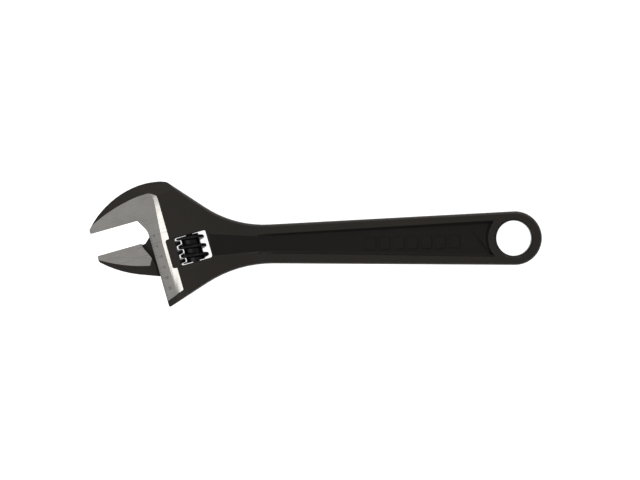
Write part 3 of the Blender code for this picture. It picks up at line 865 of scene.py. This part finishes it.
def black_forging(name, low, high, ior):
    """Black phosphate over a forged skin: satin, finely grained, with faint warm patches."""
    made = metal(name, 0.0, ior)
    tree = made.node_tree
    whole = stretched(tree, (1, 1, 1))
    grain = noise(tree, whole, 2600, 2)
    skin = noise(tree, whole, 320, 3)
    patches = noise(tree, whole, 45, 4)
    base = mix(tree, ramp(tree, patches, [(0.35, 0.0), (0.7, 1.0)]), low, high)
    fleck = ramp(tree, grain, [(0.66, 0.0), (0.76, 1.0)])
    colour = mix(tree, fleck, base, (0.030, 0.027, 0.024))
    roughness = ramp(tree, skin, [(0.3, 0.38), (0.7, 0.50)])
    link_shader(made, colour, roughness)
    shader_of(made).inputs["Specular Tint"].default_value = (1.0, 0.93, 0.87, 1)
    bump(tree, [(skin, 0.35, 0.00006), (grain, 0.5, 0.00002)])
    return made


def worn_black():
    """Broken edges painted lighter, with patches of steel: a painted highlight where the edges catch the
    light.
    """
    made = metal("painted_highlight_edge", 0.45)
    tree = made.node_tree
    whole = stretched(tree, (1, 1, 1))
    fine = noise(tree, whole, 900, 4, 0.65)
    broad = noise(tree, whole, 90, 3)
    # painted highlight: patches of lighter steel over the edges' dark base
    highlight_patches = ramp(tree, fine, [(0.45, 0.0), (0.62, 1.0)])
    steel = mix(tree, ramp(tree, broad, [(0.4, 0.0), (0.65, 1.0)]), (0.04, 0.037, 0.034),
                (0.11, 0.104, 0.096))
    colour = mix(tree, highlight_patches, (0.022, 0.020, 0.018), steel)
    roughness = ramp(tree, fine, [(0.3, 0.48), (0.7, 0.36)])
    link_shader(made, colour, roughness)
    bump(tree, [(fine, 0.3, 0.00003)])
    return made


def ground_steel():
    """Bare steel with fine grinding lines across the strip, a few deeper scratches and faint stains."""
    made = metal("ground_steel", 1.0)
    tree = made.node_tree
    lines = noise(tree, stretched(tree, (90, 5200, 300), HEAD_TILT), 1.0, 3)
    scratches = noise(tree, stretched(tree, (60, 1500, 150), HEAD_TILT), 1.0, 2)
    whole = stretched(tree, (1, 1, 1))
    stains = noise(tree, whole, 130, 4, 0.6)
    tone = mix(tree, ramp(tree, stains, [(0.35, 0.0), (0.7, 1.0)]),
               (0.60, 0.575, 0.54), (0.69, 0.665, 0.63))
    scratch = ramp(tree, scratches, [(0.62, 0.0), (0.70, 1.0)])
    colour = mix(tree, scratch, tone, (0.46, 0.44, 0.41))
    roughness = ramp(tree, lines, [(0.25, 0.19), (0.75, 0.29)])
    link_shader(made, colour, roughness)
    bump(tree, [(scratches, 0.08, 0.00003), (lines, 0.08, 0.00002)])
    return made


def machined_black():
    """Blackened cut surfaces: broached slot, bored holes and the worm's window."""
    made = metal("machined_black", 0.3)
    tree = made.node_tree
    cuts = noise(tree, stretched(tree, (400, 2600, 400), HEAD_TILT), 1.0, 2)
    whole = stretched(tree, (1, 1, 1))
    patches = noise(tree, whole, 160, 3)
    colour = mix(tree, ramp(tree, patches, [(0.35, 0.0), (0.7, 1.0)]), (0.010, 0.0095, 0.009),
                 (0.020, 0.0185, 0.017))
    roughness = ramp(tree, cuts, [(0.3, 0.34), (0.7, 0.48)])
    link_shader(made, colour, roughness)
    bump(tree, [(cuts, 0.35, 0.00003)])
    return made


def etched_mark():
    """The bottoms of the scale's ticks and figures, dark and rough."""
    made = metal("etched_mark", 0.2)
    tree = made.node_tree
    whole = stretched(tree, (1, 1, 1))
    grain = noise(tree, whole, 3000, 3)
    colour = ramp(tree, grain, [(0.3, (0.045, 0.043, 0.040)), (0.7, (0.105, 0.100, 0.093))])
    roughness = ramp(tree, grain, [(0.3, 0.6), (0.7, 0.8)])
    link_shader(made, colour, roughness)
    bump(tree, [(grain, 0.4, 0.00003)])
    return made


def oiled_steel(name, dark, light, metallic, low, high):
    """Blued or oiled small parts: dark, with a fine grain and a soft oil sheen."""
    made = metal(name, metallic)
    tree = made.node_tree
    whole = stretched(tree, (1, 1, 1))
    grain = noise(tree, whole, 2200, 3)
    film = noise(tree, whole, 350, 3)
    colour = mix(tree, ramp(tree, film, [(0.35, 0.0), (0.7, 1.0)]), dark, light)
    roughness = ramp(tree, film, [(0.3, low), (0.7, high)])
    link_shader(made, colour, roughness)
    bump(tree, [(grain, 0.3, 0.00002)])
    return made


def give(made, materials):
    """Puts the materials in the object's slots, keeping the faces' slot numbers."""
    numbers = [polygon.material_index for polygon in made.data.polygons]
    made.data.materials.clear()
    for material in materials:
        made.data.materials.append(material)
    for polygon, number in zip(made.data.polygons, numbers):
        polygon.material_index = number


# ---------------------------------------------------------------- painting by place

def head_point(point):
    """A world point as (u, w, z) of the head frame, in millimetres."""
    return HEAD_PLACE.inverted() @ point / MM


def paint(made, choose):
    """Gives each face the slot that choose(centre, normal) names, both in the head frame."""
    back = HEAD_PLACE.inverted()
    turn = back.to_3x3()
    for polygon in made.data.polygons:
        centre = back @ polygon.center / MM
        normal = turn @ polygon.normal
        polygon.material_index = choose(centre, normal)


def in_panel(x, y):
    """Whether a point of the handle, seen from above, lies within the sunk panel."""
    bend, above = PANEL_UPPER[1]
    below = PANEL_LOWER[1][1]
    spread = PANEL_SPREAD * abs(x - bend)
    between = below - spread < y < above + spread
    off_ring = hypot(x - HOLE_X, y - HANDLE_Y) > PANEL_END_RADIUS
    return between and PANEL_X[0] < x < HOLE_X and off_ring


def body_finish(centre, normal):
    """Ground faces, ramp, jaw face and strip edge are bare steel; cut insides are machined black."""
    u, w, z = centre
    height = abs(z)
    flat = abs(normal.z)
    if flat > 0.999 and abs(height - GROUND_HALF) < 0.01:
        return GROUND
    climbing = 0.7 < flat < 0.985 and min(normal.x, normal.y) < -0.1
    beside_strip = CORNER_U - 4 < u < RAMP_TOP_U + 0.1 and end_line(u) < w
    if climbing and beside_strip and GROUND_HALF - 0.01 < height < HEAD_HALF + 0.01:
        return GROUND
    if abs(w - FIXED_FACE_W) < 0.05 and normal.y < -0.95 and u < -18:
        return GROUND
    throat = u < STRIP_U + 0.05 and end_line(STRIP_U) < w < FIXED_FACE_W + 0.1
    if throat and flat < 0.1 and normal.x < -0.2:
        return GROUND
    if hypot(u - RACK_U, z) < BORE_RADIUS + 0.05 or (height < SLOT_HALF + 0.01 and -18 < u < -7.5):
        return MACHINED
    if WINDOW_U0 - 0.1 < u < WINDOW_U1 + 0.1 and abs(w) < WINDOW_HALF_W + 0.1 and flat < 0.1:
        return MACHINED
    x, y = head(u, w)
    # flat faces low in the sunk panel take the darker black of painted shade
    if in_panel(x, y) and flat > 0.5 and height < half_thickness(x) - 0.1:
        return RECESS
    return BLACK


def jaw_finish(centre, normal):
    """The jaw's flat sides and its face are bare ground steel, the rest is black."""
    u, w, z = centre
    if abs(normal.z) > 0.999 and abs(abs(z) - GROUND_HALF) < 0.01:
        return GROUND
    if normal.y > 0.95 and abs(w - MOVING_FACE_W) < 0.05:
        return GROUND
    if u > STRIP_U + 0.2:
        return MACHINED
    return BLACK


# ---------------------------------------------------------------- pieces

def in_mouth(point):
    """Whether a point lies on the jaw face, the throat or the strip's edge, which stay crisp."""
    u, w, _ = head_point(point)
    return u < STRIP_U + 0.6 and w < FIXED_FACE_W + 1.6


def round_forging(blank):
    """Rounds the forging's outer edges, top and bottom, all the way round except in the mouth."""
    with editing(blank) as shape:
        edges = []
        for edge in shape.edges:
            upright = sorted(abs(face.normal.z) for face in edge.link_faces)
            middle = (edge.verts[0].co + edge.verts[1].co) / 2
            if upright[0] < 0.3 and upright[1] > 0.7 and not in_mouth(middle):
                edges.append(edge)
        soften(shape, edges, FORGING_ROUND, 6)


def make_body(materials):
    blank = plate("wrench_body", body_outline(), -HEAD_HALF, HEAD_HALF)
    side = plate("side_profile", side_outline(), -THROUGH, THROUGH)
    side.data.transform(Matrix.Rotation(radians(90), 4, "X"))
    body = in_body(combine(blank, [side], "INTERSECT"))
    tidy(body, BLANK_CLOSEST)
    round_forging(body)
    cutters = []
    for side in (1, -1):
        cutters += [ground_cutter(side), pocket_cutter(side), panel_cutter(side), end_cutter(side)]
        cutters += slope_cutters(body_slopes(), side)
    cutters.append(in_head(plate("jaw_slot", slot_outline(), -SLOT_HALF, SLOT_HALF)))
    bore = cylinder("rack_bore", BORE_RADIUS, (RACK_U, -THROUGH, 0), (RACK_U, BORE_TOP, 0))
    cutters.append(in_head(bore))
    cutters.append(pin_hole_cutter())
    cutters.append(in_head(plate("worm_window", window_outline(), -WINDOW_THROUGH, WINDOW_THROUGH)))
    cutters.append(hole_cutter())
    body = combine(body, cutters)
    body = combine(body, panel_pads(1) + panel_pads(-1), "UNION")
    tidy(body)
    paint(body, body_finish)
    give(body, materials)
    break_edges(body)
    scales = [scale_cutter(1), scale_cutter(-1)]
    for scale in scales:
        give(scale, materials)
        for polygon in scale.data.polygons:
            polygon.material_index = MARK
    body = combine(body, scales)
    close_slivers(body)
    shade(body)
    return body


def make_jaw(materials):
    jaw = in_head(plate("wrench_jaw", jaw_outline(), -GROUND_HALF, GROUND_HALF))
    slopes = [slope for line in jaw_slopes() for side in (1, -1) for slope in slope_cutters(line, side)]
    jaw = combine(jaw, slopes)
    web = in_head(plate("jaw_web", web_outline(), -WEB_HALF, WEB_HALF))
    rack = in_head(cylinder("jaw_rack", RACK_RADIUS, (RACK_U, RACK_LOW, 0), (RACK_U, RACK_HIGH, 0)))
    jaw = combine(jaw, [web, rack], "UNION")
    jaw = combine(jaw, [tooth_gap_cutter()])
    tidy(jaw)
    paint(jaw, jaw_finish)
    give(jaw, materials)
    break_edges(jaw)
    shade(jaw)
    return jaw


def thread_radius(angle, w):
    """The worm's outer radius: a left-hand thread with sloping flanks and knurled, rounded crests."""
    along = (w - RIDGE_W + PITCH * angle / (2 * pi)) % PITCH
    off_ridge = min(along, PITCH - along)
    share = (RIDGE_BASE / 2 - off_ridge) / (RIDGE_BASE / 2 - RIDGE_TOP / 2)
    share = max(0.0, min(1.0, share))
    crest = WORM_CREST - KNURL_DEPTH * (0.5 + 0.5 * cos(KNURLS * angle)) ** 2
    radius = WORM_ROOT + (crest - WORM_ROOT) * sin(share * pi / 2)
    end_room = WORM_HALF_LENGTH - abs(w)
    if end_room < WORM_END_CHAMFER:
        radius = min(radius, WORM_CREST - WORM_END_CHAMFER + end_room)
    return radius


def make_worm(materials):
    """The worm as a skin over angle and length, hollow for its pin and counterbored for the spring."""
    angles = [2 * pi * k / WORM_SIDES for k in range(WORM_SIDES)]

    def ring(w, radius_at):
        return [(radius_at(a, w) * cos(a), w, -radius_at(a, w) * sin(a)) for a in angles]

    low, high = -WORM_HALF_LENGTH, WORM_HALF_LENGTH
    rings = [ring(low + (high - low) * i / (WORM_ROWS - 1), thread_radius) for i in range(WORM_ROWS)]
    floor = high - COUNTERBORE_DEPTH
    inner = [
        (high, COUNTERBORE + 0.2), (high - 0.2, COUNTERBORE), (floor, COUNTERBORE),
        (floor, WORM_BORE), (low + 0.2, WORM_BORE), (low, WORM_BORE + 0.2),
    ]
    for w, radius in inner:
        rings.append(ring(w, lambda a, _, r=radius: r))
    worm = in_head(ring_loft("wrench_worm", rings))
    give(worm, materials)
    worm.data.shade_smooth()
    worm.data.set_sharp_from_angle(angle=radians(50))
    return worm


def make_pin(materials):
    """The pin: a smooth journal, a run of fine thread grooves and a screwdriver slot."""
    thread_start = PIN_HEAD_W + PIN_THREAD_LENGTH
    profile = [
        (0, PIN_TOP_W), (PIN_RADIUS - PIN_CHAMFER, PIN_TOP_W), (PIN_RADIUS, PIN_TOP_W - PIN_CHAMFER),
        (PIN_RADIUS, thread_start),
    ]
    count = int((PIN_THREAD_LENGTH - PIN_CHAMFER) / PIN_THREAD_PITCH)
    for k in range(count):
        w = thread_start - PIN_THREAD_PITCH * k
        profile.append((PIN_THREAD_RADIUS - PIN_THREAD_DEPTH, w - 0.02 * (k == 0)))
        profile.append((PIN_THREAD_RADIUS, w - PIN_THREAD_PITCH * 0.45))
        profile.append((PIN_THREAD_RADIUS, w - PIN_THREAD_PITCH * 0.6))
    profile += [
        (PIN_THREAD_RADIUS - PIN_THREAD_DEPTH, thread_start - PIN_THREAD_PITCH * count),
        (PIN_THREAD_RADIUS - PIN_CHAMFER, PIN_HEAD_W), (0, PIN_HEAD_W),
    ]
    pin = turned("wrench_pin", profile, 72)
    pin.data.transform(Matrix.Rotation(radians(-90), 4, "X"))
    low, high = PIN_HEAD_W - 1, PIN_HEAD_W + DRIVER_SLOT_DEPTH
    outline = [(-5, low), (5, low), (5, high), (-5, high)]
    slot = plate("driver_slot", outline, -DRIVER_SLOT_HALF, DRIVER_SLOT_HALF)
    pin = in_head(combine(pin, [slot]))
    give(pin, materials)
    shade(pin)
    return pin


def make_spring(materials):
    """The small coil spring that loads the worm against one end of its window."""
    low = WORM_HALF_LENGTH - COUNTERBORE_DEPTH + WIRE_RADIUS + SPRING_CLEARANCE
    high = WINDOW_HALF_W - WIRE_RADIUS - SPRING_CLEARANCE
    count = SPRING_TURNS * STEPS_PER_TURN
    wire = bpy.data.curves.new("spring_wire", "CURVE")
    wire.dimensions = "3D"
    wire.bevel_depth = WIRE_RADIUS * MM
    wire.bevel_resolution = 4
    wire.use_fill_caps = True
    spline = wire.splines.new("POLY")
    spline.points.add(count)
    for i, point in enumerate(spline.points):
        angle = 2 * pi * i / STEPS_PER_TURN
        w = low + (high - low) * i / count
        point.co = (SPRING_RADIUS * cos(angle) * MM, w * MM, -SPRING_RADIUS * sin(angle) * MM, 1.0)
    spring = in_head(baked("wrench_spring", mesh_object("spring_curve", wire)))
    with editing(spring) as shape:
        bmesh.ops.remove_doubles(shape, verts=shape.verts, dist=1e-7)
    give(spring, materials)
    spring.data.shade_smooth()
    spring.data.set_sharp_from_angle(angle=radians(50))
    return spring


# ---------------------------------------------------------------- studio

def pale_floor():
    """A plain pale floor that glows a little, lightly mottled so that it isn't one flat tone."""
    shape = bmesh.new()
    bmesh.ops.create_circle(shape, cap_ends=True, segments=96, radius=FLOOR_RADIUS)
    floor = from_bmesh("studio_floor", shape)
    made = metal("pale_floor", 0.0)
    tree = made.node_tree
    mottle = noise(tree, stretched(tree, (1, 1, 1)), 6, 2)
    colour = ramp(tree, mottle, [(0.3, 0.86), (0.7, 0.89)])
    link_shader(made, colour, ramp(tree, mottle, [(0.3, 0.8), (0.7, 0.9)]))
    tree.links.new(colour, shader_of(made).inputs["Emission Color"])
    shader_of(made).inputs["Emission Strength"].default_value = FLOOR_GLOW
    floor.data.materials.append(made)


def softbox(name, towards, distance, size, radiance):
    """A rectangular soft light that faces the wrench from one direction, with an even radiance."""
    light = bpy.data.lights.new(name, "AREA")
    light.shape = "RECTANGLE"
    light.size, light.size_y = size
    light.energy = pi * size[0] * size[1] * radiance
    made = bpy.data.objects.new(name, light)
    scene.collection.objects.link(made)
    made.location = Vector(towards).normalized() * distance
    made.rotation_euler = made.location.to_track_quat("Z", "Y").to_euler()


def studio_world():
    """Fill light that is strongest overhead; the camera itself sees a pale background."""
    world = bpy.data.worlds.new("studio")
    scene.world = world
    world.use_nodes = True
    tree = world.node_tree
    fill = tree.nodes["Background"]
    direction = add(tree, "ShaderNodeTexCoord")
    parts = add(tree, "ShaderNodeSeparateXYZ")
    tree.links.new(direction.outputs["Generated"], parts.inputs[0])
    height = ramp(tree, parts.outputs["Z"], SKY)
    tree.links.new(height, fill.inputs["Color"])
    pale = add(tree, "ShaderNodeBackground")
    pale.inputs["Color"].default_value = (BACKDROP, BACKDROP, BACKDROP, 1)
    path = add(tree, "ShaderNodeLightPath")
    choice = add(tree, "ShaderNodeMixShader")
    tree.links.new(path.outputs["Is Camera Ray"], choice.inputs[0])
    tree.links.new(fill.outputs[0], choice.inputs[1])
    tree.links.new(pale.outputs[0], choice.inputs[2])
    tree.links.new(choice.outputs[0], tree.nodes["World Output"].inputs["Surface"])


def camera():
    """Straight above, a long lens, turned a little so that the handle rises to the right."""
    lens = bpy.data.cameras.new("camera")
    made = bpy.data.objects.new("camera", lens)
    scene.collection.objects.link(made)
    lens.lens = lens.sensor_width * CAMERA_DISTANCE / SEEN_WIDTH
    made.location = (*CAMERA_CENTRE, BODY_HIGH.z + CAMERA_DISTANCE)
    made.rotation_euler = (0, 0, radians(CAMERA_TURN))
    lens.clip_start = 0.01
    lens.clip_end = 20
    scene.camera = made


def studio():
    pale_floor()
    softbox("side", (-0.58, -0.15, 0.80), 1.3, (0.5, 0.8), 1.4)
    softbox("back", (0.25, 0.9, 0.55), 1.6, (1.6, 0.5), 1.6)
    studio_world()
    camera()
    scene.view_settings.view_transform = "Standard"


def main():
    handled = black_forging("black_phosphate", (0.0105, 0.0083, 0.0066), (0.0150, 0.0120, 0.0098), 1.56)
    # the sunk panel gets the same black, darker and with less reflection: painted shade in the recess
    panel_shade = black_forging("black_recess_painted_shade", (0.0050, 0.0042, 0.0036), (0.0080, 0.0068, 0.0058), 1.41)
    # the fourth metal is the painted highlight on the broken edges
    metals = [handled, ground_steel(), machined_black(), worn_black(), etched_mark(), panel_shade]
    worm_metal = oiled_steel(
        "worm_steel", (0.0045, 0.0045, 0.0045), (0.009, 0.0088, 0.0085), 0.4, 0.28, 0.42)
    pin_metal = oiled_steel("pin_steel", (0.035, 0.034, 0.033), (0.07, 0.068, 0.065), 0.9, 0.3, 0.42)
    spring_metal = oiled_steel("spring_steel", (0.25, 0.25, 0.24), (0.38, 0.38, 0.37), 1.0, 0.22, 0.36)
    made = (
        (make_body(metals), "root", "body", "forged_black"),
        (make_jaw(metals), "jaw", "movable_jaw", "ground_steel"),
        (make_worm([worm_metal]), "knurl", "worm", "worm_steel"),
        (make_pin([pin_metal]), "root", "worm_pin", "pin_steel"),
        (make_spring([spring_metal]), "root", "worm_spring", "spring_steel"),
    )
    for piece, body, node, slot in made:
        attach(piece, body)
        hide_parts(node)
    studio()


main()
